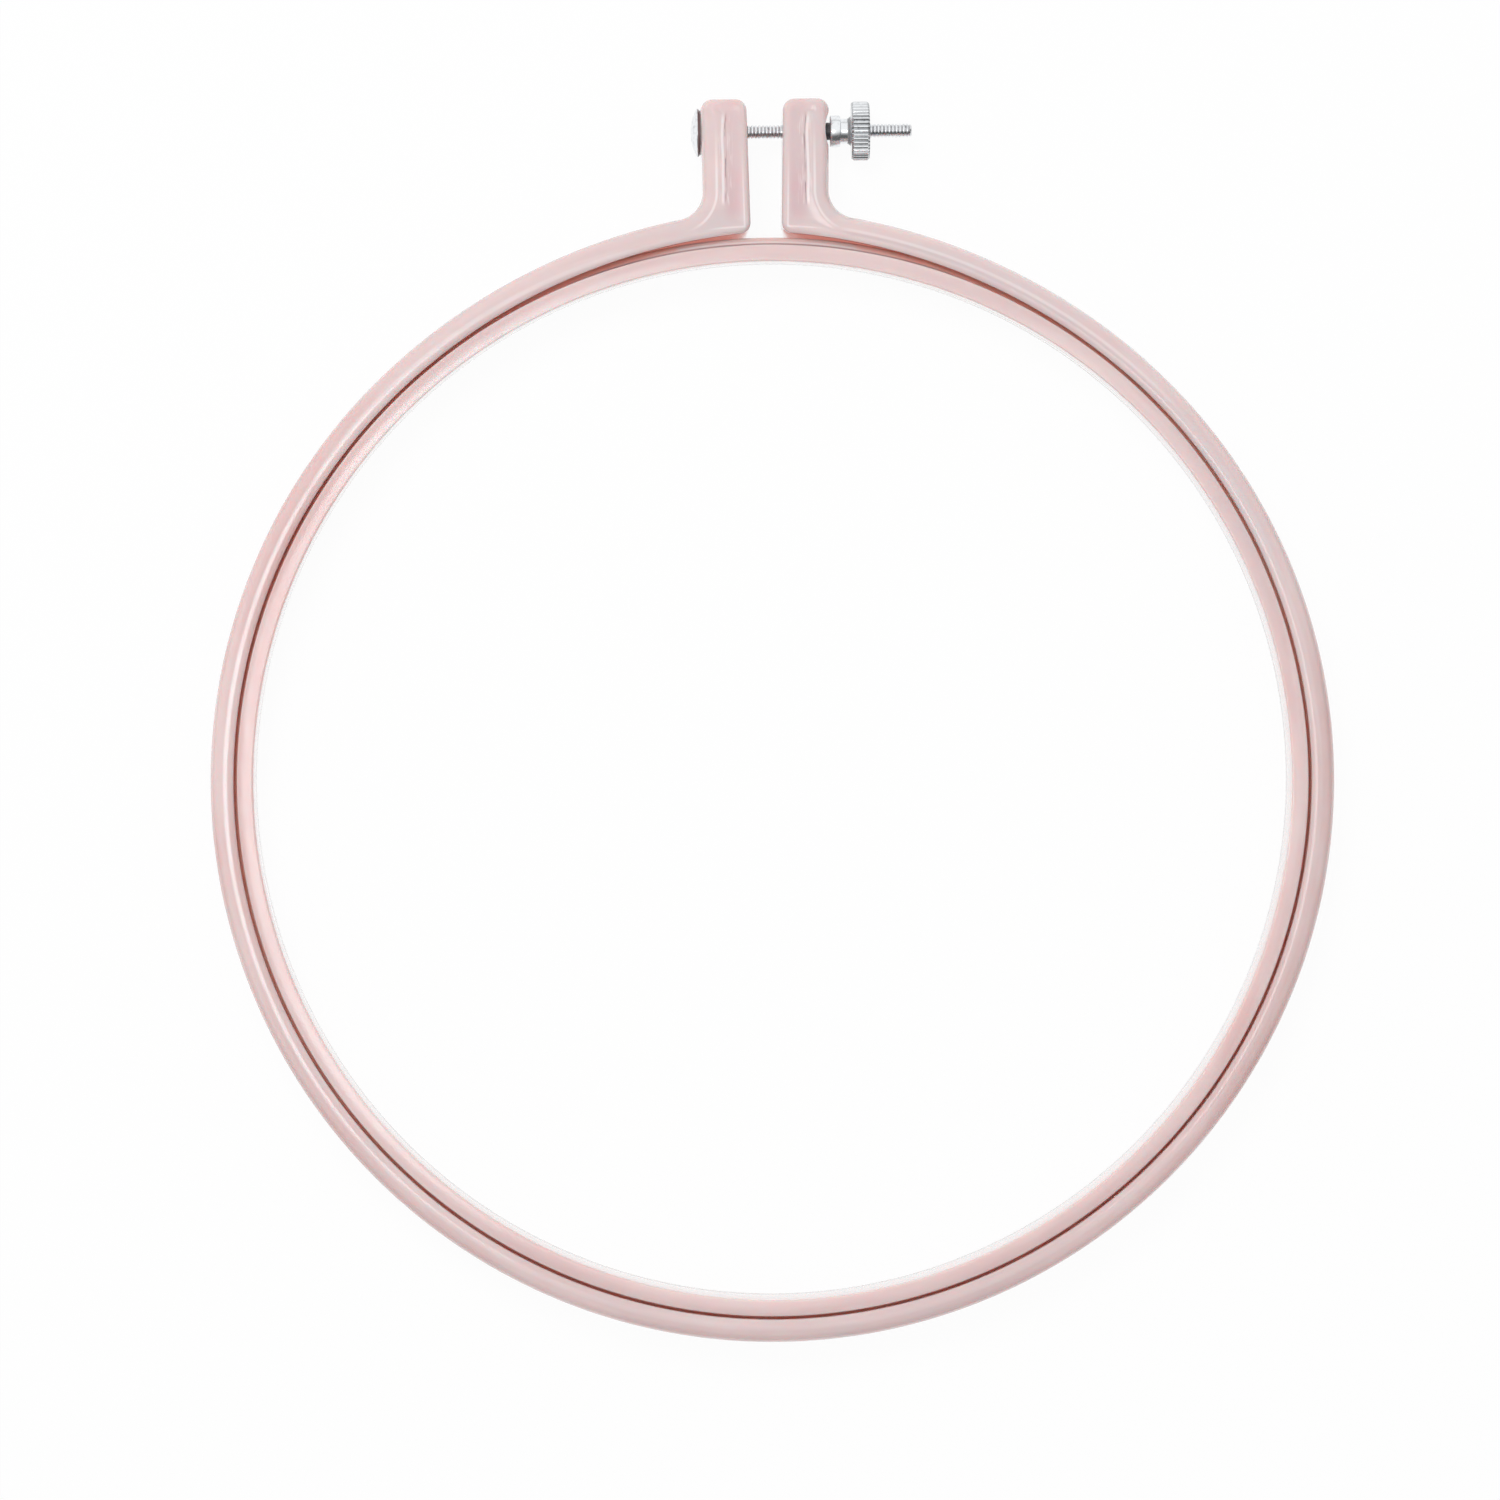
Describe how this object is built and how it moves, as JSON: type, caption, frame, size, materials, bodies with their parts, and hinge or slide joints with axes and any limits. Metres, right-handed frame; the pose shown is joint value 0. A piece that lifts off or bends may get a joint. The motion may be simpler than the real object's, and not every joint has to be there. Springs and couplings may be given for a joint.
{
  "type": "embroidery hoop",
  "caption": "Round plastic embroidery hoop: a lipped inner ring and a split outer ring whose lugs are drawn together by a screw with a knurled nut.",
  "frame": {"origin": "centre of the round opening at the rings' mid-height, level with the clamp screw's axis", "axes": "+Z along the rings' axis, out of the face that has the lip's crown; +Y from the centre towards the two lugs; +X along the clamp screw, from its head to its nut"},
  "size_m": [0.2492, 0.2755, 0.0136],
  "materials": {
    "inner_ring_plastic": "glossy pearl pink, faintly marbled",
    "outer_ring_plastic": "glossy pearl pink, marbled towards mauve",
    "screw_plating": "bright nickel plating over a rolled thread",
    "nut_plating": "bright nickel plating over a turned and knurled blank"
  },
  "bodies": {
    "inner_frame": {"inner_ring": "inner_ring_plastic"},
    "outer_frame": {"outer_ring": "outer_ring_plastic"},
    "screw": {"clamp_screw": "screw_plating"},
    "nut": {"knurled_nut": "nut_plating"}
  },
  "joints": [
    {"name": "outer_ring_lift", "type": "slide", "parent": "inner_frame", "child": "outer_frame", "axis": [0, 0, 1], "range_m": [0, 0.03]},
    {"name": "nut_turn", "type": "hinge", "parent": "outer_frame", "child": "nut", "pos_m": [0.0184, 0.144, 0], "axis": [1, 0, 0], "range_deg": [0, 1440]},
    {"name": "screw_draw", "type": "slide", "parent": "outer_frame", "child": "screw", "axis": [-1, 0, 0], "range_m": [0, 0.0032]}
  ],
  "couplings": [
    {"joint": "screw_draw", "follows": "nut_turn", "m_per_rad": 0.00012732}
  ]
}
